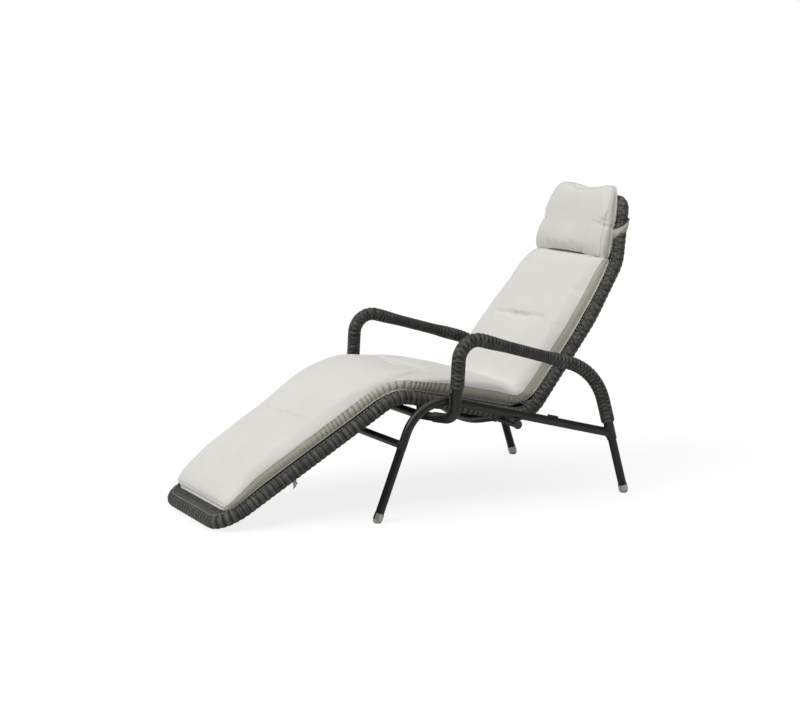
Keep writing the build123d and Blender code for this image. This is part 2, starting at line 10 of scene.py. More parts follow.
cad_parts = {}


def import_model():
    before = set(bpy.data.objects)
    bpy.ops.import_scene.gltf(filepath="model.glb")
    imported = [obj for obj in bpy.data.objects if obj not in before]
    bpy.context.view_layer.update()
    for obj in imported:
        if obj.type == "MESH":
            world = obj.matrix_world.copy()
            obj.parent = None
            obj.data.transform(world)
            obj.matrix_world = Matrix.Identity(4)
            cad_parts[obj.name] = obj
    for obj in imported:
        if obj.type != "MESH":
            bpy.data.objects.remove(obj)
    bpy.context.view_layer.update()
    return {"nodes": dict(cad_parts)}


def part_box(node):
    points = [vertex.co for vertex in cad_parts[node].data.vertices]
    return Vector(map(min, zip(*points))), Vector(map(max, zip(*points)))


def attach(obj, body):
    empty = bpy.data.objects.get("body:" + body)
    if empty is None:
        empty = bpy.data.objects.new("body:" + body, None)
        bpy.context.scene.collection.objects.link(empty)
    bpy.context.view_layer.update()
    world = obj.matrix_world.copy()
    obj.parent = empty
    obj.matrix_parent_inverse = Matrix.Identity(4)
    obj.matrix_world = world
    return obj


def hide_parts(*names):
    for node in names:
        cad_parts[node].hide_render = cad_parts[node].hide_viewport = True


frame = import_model()

# Line of the shell's rim on the left side, from the foot bar to the head bar, in metres
rim_radius = 0.020
foot_half_width = 0.205
side_half_width = 0.245
neck_half_width = 0.213
head_half_width = 0.178
rim_corners = [
    (foot_half_width, -0.718, 0.023),
    (0.212, -0.640, 0.060),
    (side_half_width, -0.143, 0.3685),
    (side_half_width, 0.3345, 0.262),
    (side_half_width, 0.564, 0.561),
    (neck_half_width, 0.690, 0.736),
    (head_half_width, 0.735, 0.930),
]
rim_bends = [0.062, 0.300, 0.120, 0.095, 0.500, 0.150, 0.035]
skin_top = 0.017

# Hoop of the armrest
arm_x = 0.3525
arm_tube_radius = 0.016
arm_corners = [(arm_x, 0.518, 0.4145), (arm_x, 0.018, 0.560)]
arm_bends = [0.200, 0.064]
arm_rear_foot = (0.340, 0.645, 0.0)
arm_front_low = (arm_x, 0.0025, 0.300)
wrap_rear_height = 0.240
wrap_front_height = 0.392
wrap_coarse_pitch = 0.0145
wrap_fine_pitch = 0.0095
wrap_coarse_rise = 0.0060
wrap_fine_rise = 0.0028

# The working places above are moved so that the foot end meets the frame's
shift = Vector((0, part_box("edge_weave_foot")[0].y + rim_radius - rim_corners[0][1], 0))


def placed(point):
    """A working place as a point of the frame."""
    return Vector(point) + shift


def mirrored(points):
    """The same points on the right side."""
    return [Vector((-p.x, p.y, p.z)) for p in points]


def lengths_along(points):
    """Length along a line of points at each of them."""
    gaps = np.linalg.norm(np.diff(points, axis=0), axis=1)
    return np.concatenate([[0], np.cumsum(gaps)])


def rows_at(wanted, places, rows):
    """Rows of three numbers, read between those given at places."""
    return np.stack([np.interp(wanted, places, rows[:, i]) for i in range(3)], -1)


def route(corners, bends, step):
    """Points at an even step along straight runs with round bends between them, and their places."""
    dense = [corners[0]]
    for before, corner, after, radius in zip(corners, corners[1:], corners[2:], bends):
        back, on = (before - corner).normalized(), (after - corner).normalized()
        turn = math.pi - back.angle(on)
        centre = corner + (back + on).normalized() * (radius / math.cos(turn / 2))
        reach = radius * math.tan(turn / 2)
        first, last = corner + back * reach - centre, corner + on * reach - centre
        count = max(3, int(turn * radius / step))
        for k in range(count + 1):
            t = k / count
            spoke = first * math.sin((1 - t) * turn) + last * math.sin(t * turn)
            dense.append(centre + spoke / math.sin(turn))
    dense.append(corners[-1])
    points = np.array([tuple(p) for p in dense])
    places = lengths_along(points)
    even = np.linspace(0, places[-1], int(places[-1] / step) + 1)
    return rows_at(even, places, points), even


def tangents(points):
    """Unit direction of a line of points at each point."""
    ways = np.gradient(points, axis=0)
    return ways / np.linalg.norm(ways, axis=1, keepdims=True)


def smooth(low, high, values):
    """Smooth step from 0 at low to 1 at high."""
    t = np.clip((values - low) / (high - low), 0, 1)
    return t * t * (3 - 2 * t)


# Side view of the shell: places along it, and heights above it on the sitter's side
half_corners = [placed(c) for c in rim_corners]
side_step = 0.001
side_view, side_places = route([Vector((0, c.y, c.z)) for c in half_corners], rim_bends[1:-1], side_step)
side_ways = tangents(side_view)
side_lifts = np.stack([side_ways[:, 0], -side_ways[:, 2], side_ways[:, 1]], 1)
side_tree = KDTree(len(side_view))
for number, point in enumerate(side_view):
    side_tree.insert(point, number)
side_tree.balance()


def nearest_rows(points):
    """Number of the side view's nearest row, for each point."""
    return np.array([side_tree.find((0, p[1], p[2]))[1] for p in points])


def on_side_view(points):
    """Place along the shell and height above the rim's line, for each point."""
    near = nearest_rows(points)
    offset = points - side_view[near]
    along = np.sum(offset * side_ways[near], axis=1)
    return side_places[near] + along, np.sum(offset * side_lifts[near], axis=1)


def side_at(place):
    """Point, direction and lift of the side view at a place along it."""
    point, way = rows_at(place, side_places, side_view), rows_at(place, side_places, side_ways)
    way /= np.linalg.norm(way)
    return Vector(point), Vector(way), Vector((0, -way[2], way[1]))


# Mesh helpers
relief_reach = 0.014
welt_sides = 8


def linked(name, data):
    """A new object in the scene."""
    obj = bpy.data.objects.new(name, data)
    bpy.context.scene.collection.objects.link(obj)
    return obj


def new_object(name, vertices, faces, uv=None):
    """A mesh object with smooth faces. uv has one pair for each vertex, or each corner of each face."""
    mesh = bpy.data.meshes.new(name)
    mesh.from_pydata([tuple(v) for v in vertices], [], [tuple(f) for f in faces])
    mesh.polygons.foreach_set("use_smooth", [True] * len(mesh.polygons))
    if uv is not None:
        layer = mesh.uv_layers.new(name="UVMap")
        layer.data.foreach_set("uv", np.asarray(uv, np.float32).ravel())
    mesh.update()
    return linked(name, mesh)


def sleeve(name, points, places, zero, radius_of, around, closed=False):
    """A sleeve along points. zero is the direction of angle 0; radius_of takes places and angles."""
    ways = tangents(points)
    if closed:
        ways[0] = ways[-1] = (points[1] - points[-2]) / np.linalg.norm(points[1] - points[-2])
        points, places, ways, zero = points[:-1], places[:-1], ways[:-1], zero[:-1]
    zero = zero - ways * np.sum(zero * ways, axis=1, keepdims=True)
    zero = zero / np.linalg.norm(zero, axis=1, keepdims=True)
    side = np.cross(ways, zero)
    angles = np.linspace(0, 2 * math.pi, around, endpoint=False)
    radii = radius_of(places[:, None], angles[None, :])
    rings = points[:, None] + radii[..., None] * (
        np.cos(angles)[None, :, None] * zero[:, None] + np.sin(angles)[None, :, None] * side[:, None]
    )
    count = len(points)
    vertices = rings.reshape(-1, 3)
    rows = count if closed else count - 1
    i, j = np.meshgrid(np.arange(rows), np.arange(around), indexing="ij")
    i, j = i.ravel(), j.ravel()
    up, on = (i + 1) % count, (j + 1) % around
    faces = np.stack([i * around + j, i * around + on, up * around + on, up * around + j], 1)
    step = places[1] - places[0]
    low, high = places[i], places[i] + step
    left, right = j / around, (j + 1) / around
    uv = np.stack([low, left, low, right, high, right, high, left], 1).reshape(-1, 2)
    faces = faces.tolist()
    uv = uv.tolist()
    if not closed:
        faces.append(list(range(around))[::-1])
        faces.append([(count - 1) * around + k for k in range(around)])
        uv += [[places[0], 0]] * around + [[places[-1], 0]] * around
    obj = new_object(name, vertices, faces, uv)
    # Relief of each point, stored so that wound strands get painted shade in their valleys.
    stored(obj, "relief_shade", relief(radii, max(2, int(relief_reach / step))))
    return obj


def stored(obj, name, values):
    """Stores a number for each point of a mesh."""
    layer = obj.data.attributes.new(name, "FLOAT", "POINT")
    layer.data.foreach_set("value", np.asarray(values, np.float32).ravel())


def relief(radii, window):
    """Height of each point of a sleeve between the lowest and the highest ones near it."""
    padded = np.pad(radii, ((window, window), (0, 0)), "edge")
    span = np.lib.stride_tricks.sliding_window_view(padded, 2 * window + 1, axis=0)
    low = span.min(axis=-1).min(axis=1, keepdims=True)
    high = span.max(axis=-1).max(axis=1, keepdims=True)
    return (radii - low) / np.maximum(high - low, 1e-5)


def even_radius(radius):
    """The same radius at all places and angles of a sleeve."""
    return lambda s, angles: radius + 0 * s + 0 * angles


def welt(name, points, radius):
    """A thin round cord of cloth along points."""
    points = np.array([tuple(p) for p in points])
    ways = tangents(points)
    guide = np.where(np.abs(ways[:, [0]]) < 0.9, [[1.0, 0, 0]], [[0, 0, 1.0]])
    return sleeve(name, points, lengths_along(points), guide, even_radius(radius), welt_sides)


def joined(name, objects):
    """Several mesh objects made into one."""
    whole = bmesh.new()
    for one in objects:
        whole.from_mesh(one.data)
    mesh = bpy.data.meshes.new(name)
    whole.to_mesh(mesh)
    whole.free()
    for one in objects:
        bpy.data.objects.remove(one)
    return linked(name, mesh)


def coordinates(obj):
    """The object's vertices as an array."""
    flat = np.zeros(len(obj.data.vertices) * 3)
    obj.data.vertices.foreach_get("co", flat)
    return flat.reshape(-1, 3)


def set_coordinates(obj, points):
    """Moves the object's vertices."""
    obj.data.vertices.foreach_set("co", np.asarray(points, np.float32).ravel())
    obj.data.update()


def normals(obj):
    """The normals at the object's vertices."""
    flat = np.zeros(len(obj.data.vertices) * 3, np.float32)
    obj.data.vertex_normals.foreach_get("vector", flat)
    return flat.reshape(-1, 3).astype(float)


def apply_modifiers(obj):
    """Makes the object's mesh what its modifiers show."""
    shown = obj.evaluated_get(bpy.context.evaluated_depsgraph_get())
    mesh = bpy.data.meshes.new_from_object(shown)
    obj.modifiers.clear()
    obj.data = mesh
    mesh.polygons.foreach_set("use_smooth", [True] * len(mesh.polygons))


# Materials
class Shader:
    """A node material whose nodes are added by short calls."""

    def __init__(self, name, color, roughness, **constants):
        self.material = bpy.data.materials.new(name)
        self.material.use_nodes = True
        self.tree = self.material.node_tree
        self.surface = self.tree.nodes["Principled BSDF"]
        self.surface.inputs["Base Color"].default_value = (*color, 1)
        self.surface.inputs["Roughness"].default_value = roughness
        for socket, value in constants.items():
            self.surface.inputs[socket.replace("_", " ")].default_value = value

    def node(self, kind, inputs=None, **settings):
        """Adds a node and sets or links its inputs."""
        node = self.tree.nodes.new(kind)
        for key, value in settings.items():
            setattr(node, key, value)
        for key, value in (inputs or {}).items():
            self.put(node.inputs[key], value)
        return node

    def put(self, socket, value):
        """Links a socket to an output, or sets its value."""
        if isinstance(value, bpy.types.NodeSocket):
            self.tree.links.new(value, socket)
        else:
            socket.default_value = value

    def math(self, operation, *values):
        """A Math node's result."""
        return self.node("ShaderNodeMath", dict(enumerate(values)), operation=operation).outputs[0]

    def ridge(self, value, pitch):
        """Height from 0 to 1 that is round between valleys, one for each pitch."""
        return self.math("ABSOLUTE", self.math("SINE", self.math("MULTIPLY", value, math.pi / pitch)))

    def place(self):
        """The place on the object, in the frame."""
        return self.node("ShaderNodeTexCoord").outputs["Object"]

    def noise(self, scale, detail=2.0, vector=None):
        """A noise from 0 to 1."""
        vector = vector if vector is not None else self.place()
        settings = {"Vector": vector, "Scale": scale, "Detail": detail}
        return self.node("ShaderNodeTexNoise", settings).outputs["Fac"]

    def remap(self, value, low, high, to_low, to_high):
        """A value moved from one range to another, and held inside it."""
        settings = {0: value, 1: low, 2: high, 3: to_low, 4: to_high}
        return self.node("ShaderNodeMapRange", settings).outputs[0]

    def between(self, factor, first, second):
        """A colour between two, each of them three numbers or an output."""
        node = self.node("ShaderNodeMix", data_type="RGBA")
        self.put(node.inputs[0], factor)
        for number, color in ((6, first), (7, second)):
            self.put(node.inputs[number], (*color, 1) if isinstance(color, tuple) else color)
        return node.outputs[2]

    def attribute(self, name):
        """A number stored with the mesh, 0 where it has none."""
        return self.node("ShaderNodeAttribute", attribute_name=name).outputs["Fac"]

    def color(self, value):
        """Links the base colour."""
        self.put(self.surface.inputs["Base Color"], value)

    def rough(self, value):
        """Links the roughness."""
        self.put(self.surface.inputs["Roughness"], value)

    def bump(self, height, distance, strength=1.0, under=None):
        """Adds a bump of a height in metres, over another bump if one is given."""
        settings = {"Height": height, "Distance": distance, "Strength": strength}
        node = self.node("ShaderNodeBump", settings)
        if under is not None:
            self.put(node.inputs["Normal"], under)
        self.put(self.surface.inputs["Normal"], node.outputs[0])
        return node.outputs[0]


graphite = (0.011, 0.011, 0.0098)
graphite_light = (0.018, 0.018, 0.0160)
leg_black = (0.0035, 0.0035, 0.0032)
leg_black_light = (0.0070, 0.0070, 0.0063)
# The first and last of the next three colours are painted shade for the strands' gaps and a painted
# highlight for their tops; the middle one is the strands' own colour.
strand_gap_shade = (0.0022, 0.0022, 0.0019)
strand_color = (0.022, 0.022, 0.019)
strand_top_highlight = (0.170, 0.167, 0.148)
stitch_color = (0.270, 0.266, 0.240)
cloth_color = (0.735, 0.722, 0.688)
cloth_shade = (0.69, 0.678, 0.644)
# Side band colour: the cloth darkened as painted shade, and more olive.
gusset_shaded_color = (0.56, 0.545, 0.455)
# Painted shade for the valleys of the puckers.
fold_shadow_color = (0.20, 0.19, 0.155)
strap_color = (0.40, 0.39, 0.335)


def powder_coat(name, color, paler, low_rough, high_rough):
    """Powder coat with a fine orange peel and faint cloudiness."""
    coat = Shader(name, color, low_rough, Specular_IOR_Level=0.42)
    coat.color(coat.between(coat.remap(coat.noise(9, 4), 0.35, 0.7, 0, 1), color, paler))
    coat.rough(coat.remap(coat.noise(60, 3), 0.3, 0.7, low_rough, high_rough))
    coat.bump(coat.noise(900, 2), 0.00025, 0.4)
    return coat.material


strand_width = 0.0040
bundles_around = 30


def wrapped_strands():
    """Strands wound round a tube: the first UV runs along it in metres, the second once round it."""
    wrap = Shader("wrapped_strands", strand_color, 0.42, Specular_IOR_Level=0.4)
    uv = wrap.node("ShaderNodeUVMap", uv_map="UVMap").outputs[0]
    parts = wrap.node("ShaderNodeSeparateXYZ", {0: uv})
    along, round_it = parts.outputs[0], parts.outputs[1]
    strand = wrap.ridge(along, strand_width)
    bundle = wrap.ridge(round_it, 1 / bundles_around)
    number = wrap.math("FLOOR", wrap.math("DIVIDE", along, strand_width))
    chance = wrap.node("ShaderNodeTexWhiteNoise", {"W": number}, noise_dimensions="1D").outputs["Value"]
    cloud = wrap.noise(35, 3)
    height = wrap.attribute("relief_shade")
    # Colour: random tone for each strand, with painted shade in the valleys between strands, rolls and
    # bundles and a painted highlight on their tops.
    mixed = wrap.math("MULTIPLY", wrap.math("ADD", chance, cloud), wrap.remap(strand, 0, 0.75, 0.35, 1))
    mixed = wrap.math("MULTIPLY", mixed, wrap.math("POWER", height, 1.1))
    mixed = wrap.math("MULTIPLY", mixed, wrap.remap(bundle, 0, 1, 0.2, 1.1))
    wrap.color(wrap.between(wrap.remap(mixed, 0.05, 1.3, 0, 1), strand_gap_shade, strand_top_highlight))
    wrap.rough(wrap.remap(cloud, 0.3, 0.7, 0.36, 0.5))
    first = wrap.bump(strand, 0.0009, 0.9)
    wrap.bump(wrap.remap(bundle, 0, 0.35, 0, 1), 0.0005, 0.6, first)
    return wrap.material


def woven_skin(name, run):
    """Plain weave of crosswise strands over lengthwise bands, with painted shade between the strands and a
    painted highlight on their tops. run is the direction along the field.
    """
    weave = Shader(name, strand_color, 0.45, Specular_IOR_Level=0.4)
    place = weave.place()
    dot = weave.node("ShaderNodeVectorMath", {0: place, 1: tuple(run)}, operation="DOT_PRODUCT")
    along = dot.outputs["Value"]
    across = weave.node("ShaderNodeSeparateXYZ", {0: place}).outputs[0]
    band, strand, band_round = 0.024, 0.003, 0.4
    wave_x = weave.math("SINE", weave.math("MULTIPLY", across, math.pi / band))
    wave_s = weave.math("SINE", weave.math("MULTIPLY", along, math.pi / band))
    over = weave.remap(weave.math("MULTIPLY", wave_x, wave_s), -0.12, 0.12, 0, 1)
    cross_band = weave.math("POWER", weave.ridge(across, band), band_round)
    long_band = weave.math("POWER", weave.ridge(along, band), band_round)
    cross_height = weave.math("MULTIPLY", weave.ridge(along, strand), cross_band)
    long_height = weave.math("MULTIPLY", weave.ridge(across, strand), long_band)
    mixed = weave.node("ShaderNodeMix", data_type="FLOAT")
    weave.put(mixed.inputs[0], over)
    weave.put(mixed.inputs[2], long_height)
    weave.put(mixed.inputs[3], cross_height)
    height = mixed.outputs[0]
    # Colour by the weave's height: painted shade in its low parts and a painted highlight on the strand
    # tops, with random tone.
    relief_shade = weave.math("MULTIPLY", height, weave.remap(weave.noise(40, 3), 0.3, 0.7, 0.7, 1.2))
    weave.color(weave.between(weave.remap(relief_shade, 0.1, 1.1, 0, 1), strand_gap_shade, strand_top_highlight))
    weave.bump(height, 0.0016, 0.9)
    return weave.material


def canvas(name, color, shade):
    """Outdoor canvas with a fine weave and faint creases, with painted shade on a side band, which is also
    more olive, and painted shade in its folds.
    """
    cloth = Shader(name, color, 0.9, Sheen_Weight=0.12, Sheen_Roughness=0.5)
    fine = cloth.noise(1400, 2)
    slub = cloth.noise(260, 3)
    cloud = cloth.noise(6, 4)
    base = cloth.between(cloth.remap(cloud, 0.3, 0.75, 0, 1), color, shade)
    # Painted shade on the side band, which is also tinted more olive.
    base = cloth.between(cloth.attribute("band"), base, gusset_shaded_color)
    # Painted shade in the puckers' folds.
    cloth.color(cloth.between(cloth.attribute("fold"), base, fold_shadow_color))
    cloth.rough(cloth.remap(slub, 0.3, 0.7, 0.84, 0.95))
    first = cloth.bump(fine, 0.0003, 0.5)
    second = cloth.bump(slub, 0.0004, 0.35, first)
    cloth.bump(cloth.noise(28, 3), 0.0030, 0.22, second)
    return cloth.material


def bright_metal():
    """Brushed bright metal of the foot cups."""
    metal = Shader("bright_metal", (0.62, 0.61, 0.57), 0.28, Metallic=1.0)
    brush = (1, 1, 14)
    stretched = metal.node("ShaderNodeVectorMath", {0: metal.place(), 1: brush}, operation="MULTIPLY")
    brushed = metal.noise(420, 3, stretched.outputs[0])
    metal.color(metal.between(brushed, (0.36, 0.35, 0.32), (0.58, 0.57, 0.53)))
    metal.rough(metal.remap(brushed, 0.3, 0.7, 0.16, 0.30))
    metal.bump(brushed, 0.00012, 0.6)
    return metal.material


def moulded(name, color, low_rough, high_rough):
    """Moulded plastic or rubber with a fine grain."""
    plastic = Shader(name, color, low_rough)
    paler = tuple(min(1, c * 1.25 + 0.004) for c in color)
    plastic.color(plastic.between(plastic.remap(plastic.noise(30, 3), 0.35, 0.7, 0, 1), color, paler))
    plastic.rough(plastic.remap(plastic.noise(140, 2), 0.3, 0.7, low_rough, high_rough))
    plastic.bump(plastic.noise(700, 2), 0.0002, 0.4)
    return plastic.material


coat = powder_coat("powder_coat", graphite, graphite_light, 0.24, 0.36)
leg_coat = powder_coat("leg_coat", leg_black, leg_black_light, 0.12, 0.20)
# The welds get a lighter copy of the frame's coat, a painted highlight.
weld_coat = powder_coat("weld_coat", graphite_light, strand_color, 0.14, 0.22)
strands = wrapped_strands()
cloth = canvas("canvas", cloth_color, cloth_shade)
strap_cloth = canvas("strap_canvas", strap_color, gusset_shaded_color)
metal = bright_metal()
glide_plastic = moulded("glide_plastic", (0.34, 0.31, 0.25), 0.5, 0.65)
bushing_plastic = moulded("bushing_plastic", (0.030, 0.030, 0.028), 0.4, 0.55)
rubber = moulded("rubber", (0.022, 0.022, 0.021), 0.6, 0.8)
cap_plastic = moulded("cap_plastic", (0.026, 0.026, 0.024), 0.22, 0.34)


def paint(obj, material):
    """Gives an object one material."""
    obj.data.materials.clear()
    obj.data.materials.append(material)


def dress_cad():
    """Materials of the CAD nodes that stay."""
    direction = {
        "leg_skin": half_corners[2] - half_corners[1],
        "seat_skin": half_corners[3] - half_corners[2],
        "back_skin": half_corners[4] - half_corners[3],
    }
    special = {
        "foot_ferrules": metal,
        "foot_glides": glide_plastic,
        "pivot_bushings": bushing_plastic,
        "cross_tube_buffers": rubber,
        "rail_pads": rubber,
        "axle_end_caps": cap_plastic,
        "front_leg_left": leg_coat,
        "front_leg_right": leg_coat,
        "rear_leg_left": leg_coat,
        "rear_leg_right": leg_coat,
    }
    for name, run in direction.items():
        special[name] = woven_skin("woven_" + name, Vector((0, run.y, run.z)).normalized())
    for name, node in frame["nodes"].items():
        material = special.get(name, coat)
        if not node.data.materials:
            node.data.materials.append(material)
        for number in range(len(node.data.materials)):
            node.data.materials[number] = material


dress_cad()


# Woven rim of the shell
rim_step = 0.0014
rim_sides = 48
roll_pitch = 0.019
roll_proud = 0.0008
roll_depth = 0.0027
row_waves = 4
furrow_depth = 0.0003
back_furrow_depth = 0.0009
back_begin = 0.33
back_full = 0.42


def woven_rim():
    """The whole rim as one closed loop of crosswise rolls, which are staggered in rows along the back."""
    corners = [Vector((0, half_corners[0].y, half_corners[0].z)), *half_corners]
    corners += mirrored(half_corners)[::-1] + [corners[0]]
    points, places = route(corners, rim_bends + rim_bends[::-1], rim_step)
    near = nearest_rows(points)
    pitch = places[-1] / round(places[-1] / roll_pitch)
    back = smooth(back_begin, back_full, points[:-1, 1])[:, None]

    def radii(s, angles):
        rows = np.sin(row_waves * angles)
        rolls = np.abs(np.sin(math.pi * s / pitch + back * math.pi / 4 * np.sign(rows))) ** 0.5
        furrow = (furrow_depth + back_furrow_depth * back) * (1 - np.abs(rows)) ** 3
        return rim_radius + roll_proud - roll_depth * (1 - rolls) - furrow

    rim = sleeve("woven_rim", points, places, side_lifts[near], radii, rim_sides, closed=True)
    paint(rim, strands)
    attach(rim, "shell")
    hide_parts("edge_weave_left", "edge_weave_right", "edge_weave_foot", "edge_weave_head")
    return points, side_lifts[near]


def stitch_row(points, lifts):
    """Row of short stitches where the skin meets the rim, all round the shell."""
    pitch, length, radius, angle, proud = 0.0120, 0.0062, 0.0019, math.radians(-16), 0.0006
    ways = tangents(points)
    lifts = lifts - ways * np.sum(lifts * ways, axis=1, keepdims=True)
    lifts = lifts / np.linalg.norm(lifts, axis=1, keepdims=True)
    inward = np.cross(ways, lifts)
    line = points + (rim_radius + proud) * (math.cos(angle) * lifts + math.sin(angle) * inward)
    places = lengths_along(line)
    around, rings = 6, ((-0.5, 0.35), (-0.3, 1.0), (0.3, 1.0), (0.5, 0.35))
    vertices, faces = [], []
    for place in np.arange(0, places[-1], pitch):
        centre = Vector(rows_at(place, places, line))
        number = int(np.searchsorted(places, place)) % len(ways)
        way, up = Vector(ways[number]), Vector(lifts[number])
        side = way.cross(up)
        start = len(vertices)
        for share, size in rings:
            for k in range(around):
                turn = 2 * math.pi * k / around
                spoke = (up * math.cos(turn) + side * math.sin(turn)) * radius * size
                vertices.append(centre + way * length * share + spoke)
        for ring in range(len(rings) - 1):
            for k in range(around):
                a, b = start + ring * around + k, start + ring * around + (k + 1) % around
                faces.append((a, b, b + around, a + around))
        faces.append(tuple(start + k for k in reversed(range(around))))
        faces.append(tuple(start + (len(rings) - 1) * around + k for k in range(around)))
    row = new_object("stitch_row", vertices, faces)
    paint(row, moulded("stitch_strand", stitch_color, 0.4, 0.5))
    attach(row, "shell")


rim_points, rim_lifts = woven_rim()
stitch_row(rim_points, rim_lifts)


# Woven wraps of the armrests
wrap_step = 0.0009
wrap_sides = 40
wrap_fine_depth = 0.0007
wrap_more_depth = 0.0026
wrap_end_length = 0.006
wrap_end_share = 0.35
wrap_row_waves = 3
dash_height = 0.0010


def arm_wrap(side, name, node):
    """Wound strands on one armrest: coarse rolls round the bends and fine ones on the straight top."""
    rear, front = placed(arm_corners[0]), placed(arm_corners[1])
    foot, low = placed(arm_rear_foot), placed(arm_front_low)
    start = foot + (rear - foot) * (wrap_rear_height / rear.z)
    stop = low + (front - low) * ((wrap_front_height - low.z) / (front.z - low.z))
    points, places = route([start, rear, front, stop], arm_bends, wrap_step)
    points[:, 0] *= side
    bends = smooth(0.30, 0.37, points[:, 1]) + smooth(0.19, 0.10, points[:, 1])
    coarse = np.clip(bends, 0, 1)
    pitch = wrap_fine_pitch + (wrap_coarse_pitch - wrap_fine_pitch) * coarse
    phase = np.concatenate([[0], np.cumsum((places[1] - places[0]) / pitch[1:])])
    rise = wrap_fine_rise + (wrap_coarse_rise - wrap_fine_rise) * coarse
    depth = wrap_fine_depth + wrap_more_depth * coarse
    end = np.minimum(places, places[-1] - places)
    closing = wrap_end_share + (1 - wrap_end_share) * smooth(0, wrap_end_length, end)

    def radii(s, angles):
        rows = math.pi / 4 * np.sign(np.sin(wrap_row_waves * angles)) * coarse[:, None]
        roll = np.abs(np.sin(math.pi * phase[:, None] + rows + 0.5 * np.sin(angles) * side)) ** 0.55
        row = np.exp(-(np.sin(angles / 2 - 0.2) / 0.16) ** 2)
        dash = dash_height * row * np.sin(2 * math.pi * phase[:, None])
        return arm_tube_radius + closing[:, None] * (rise[:, None] - depth[:, None] * (1 - roll) + dash)

    outward = np.tile([float(side), 0, 0], (len(points), 1))
    wrap = sleeve(name, points, places, outward, radii, wrap_sides)
    paint(wrap, strands)
    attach(wrap, "base")
    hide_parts(node)


arm_wrap(1, "armrest_strands_left", "arm_weave_left")
arm_wrap(-1, "armrest_strands_right", "arm_weave_right")


# Soft pieces
cushion_voxel = 0.006
pillow_voxel = 0.005
puff_reach = 0.008
puff_frames = 20
relax_times = 10
rest_begin = 0.003
rest_full = 0.012


def remeshed(obj, voxel):
    """Gives the object an even mesh."""
    modifier = obj.modifiers.new("remesh", "REMESH")
    modifier.mode = "VOXEL"
    modifier.voxel_size = voxel
    apply_modifiers(obj)


def relaxed(obj):
    """Smooths the object's mesh."""
    modifier = obj.modifiers.new("smooth", "SMOOTH")
    modifier.iterations = relax_times
    modifier.factor = 0.5
    apply_modifiers(obj)


def puffed(obj, free):
    """Blows the object up as cloth under pressure. free is each point's share of the longest move."""
    start = coordinates(obj)
    cloth_modifier = obj.modifiers.new("cloth", "CLOTH")
    settings = cloth_modifier.settings
    settings.quality = 4
    settings.mass = 0.3
    settings.tension_stiffness = 12
    settings.compression_stiffness = 8
    settings.bending_stiffness = 0.6
    settings.use_pressure = True
    settings.uniform_pressure_force = 4
    settings.effector_weights.gravity = 0
    cloth_modifier.collision_settings.use_self_collision = False
    scene = bpy.context.scene
    for number in range(1, puff_frames + 1):
        scene.frame_set(number)
    shown = obj.evaluated_get(bpy.context.evaluated_depsgraph_get())
    end = np.zeros(len(shown.data.vertices) * 3)
    shown.data.vertices.foreach_get("co", end)
    obj.modifiers.clear()
    scene.frame_set(1)
    move = end.reshape(-1, 3) - start
    length = np.linalg.norm(move, axis=1, keepdims=True)
    share = np.minimum(1, puff_reach / np.maximum(length, 1e-9))
    set_coordinates(obj, start + move * share * free[:, None])


def subdivided(obj):
    """One level of subdivision."""
    modifier = obj.modifiers.new("subdivision", "SUBSURF")
    modifier.levels = 1
    modifier.render_levels = 1
    apply_modifiers(obj)


def soft_form(node, name, voxel):
    """A CAD cushion as puffed cloth, still flat where it rests."""
    obj = linked(name, frame["nodes"][node].data.copy())
    remeshed(obj, voxel)
    relaxed(obj)
    height = on_side_view(coordinates(obj))[1]
    free = smooth(skin_top + rest_begin, skin_top + rest_full, height)
    puffed(obj, free)
    subdivided(obj)
    return obj


def ripple(points, scale, seed):
    """Smooth noise at each point, about -1 to 1."""
    offset = Vector((seed * 7.3, seed * 3.1, seed * 5.7))
    return np.array([noise.noise(Vector(p) * scale + offset) for p in points])


# Tucks of the cushion: a place on it, then the crease's depth and width and the hollow's width
tucks = [
    ((0, -0.3755, 0.2430), 0.0035, 0.0045, 0.016),
    ((0, -0.0160, 0.3560), 0.0045, 0.0060, 0.024),
    ((0, 0.5080, 0.5140), 0.0032, 0.0085, 0.026),
]
tuck_half_length = 0.128
strap_height = 0.846
level_slot = 0.012
seam_hold = 1.2
seam_smoothing = 5
piping_step = 0.004
piping_share = 0.35

# Seams of the cushion and of the pillow, as shares of their thickness
cushion_seam = 0.55
cushion_low_seam = 0.10
pillow_seam = 0.82
pillow_low_seam = 0.20


def place_near(point):
    """Place along the shell that is nearest to a point of the frame."""
    return float(on_side_view(np.array([tuple(point)]))[0][0])


def side_lift_at(places):
    """Lift directions at places along the shell."""
    return rows_at(places, side_places, side_lifts)


def side_way_at(places):
    """Directions along the shell at places on it."""
    return rows_at(places, side_places, side_ways)


def place_of_height(height):
    """Place along the back where the rim's line is at a height."""
    back = side_places > 1.0
    return float(np.interp(height, side_view[back][:, 2], side_places[back]))


def outer(mask, score):
    """The number of the masked point with the highest score."""
    numbers = np.flatnonzero(mask)
    return numbers[np.argmax(score[numbers])]


def level_at(place, height, share):
    """Height at a share of a cushion's thickness, at each point's place."""
    slot = ((place - place.min()) / level_slot).astype(int)
    low, high = np.full(slot.max() + 1, np.inf), np.full(slot.max() + 1, -np.inf)
    np.minimum.at(low, slot, height)
    np.maximum.at(high, slot, height)
    return low[slot] + share * (high[slot] - low[slot])


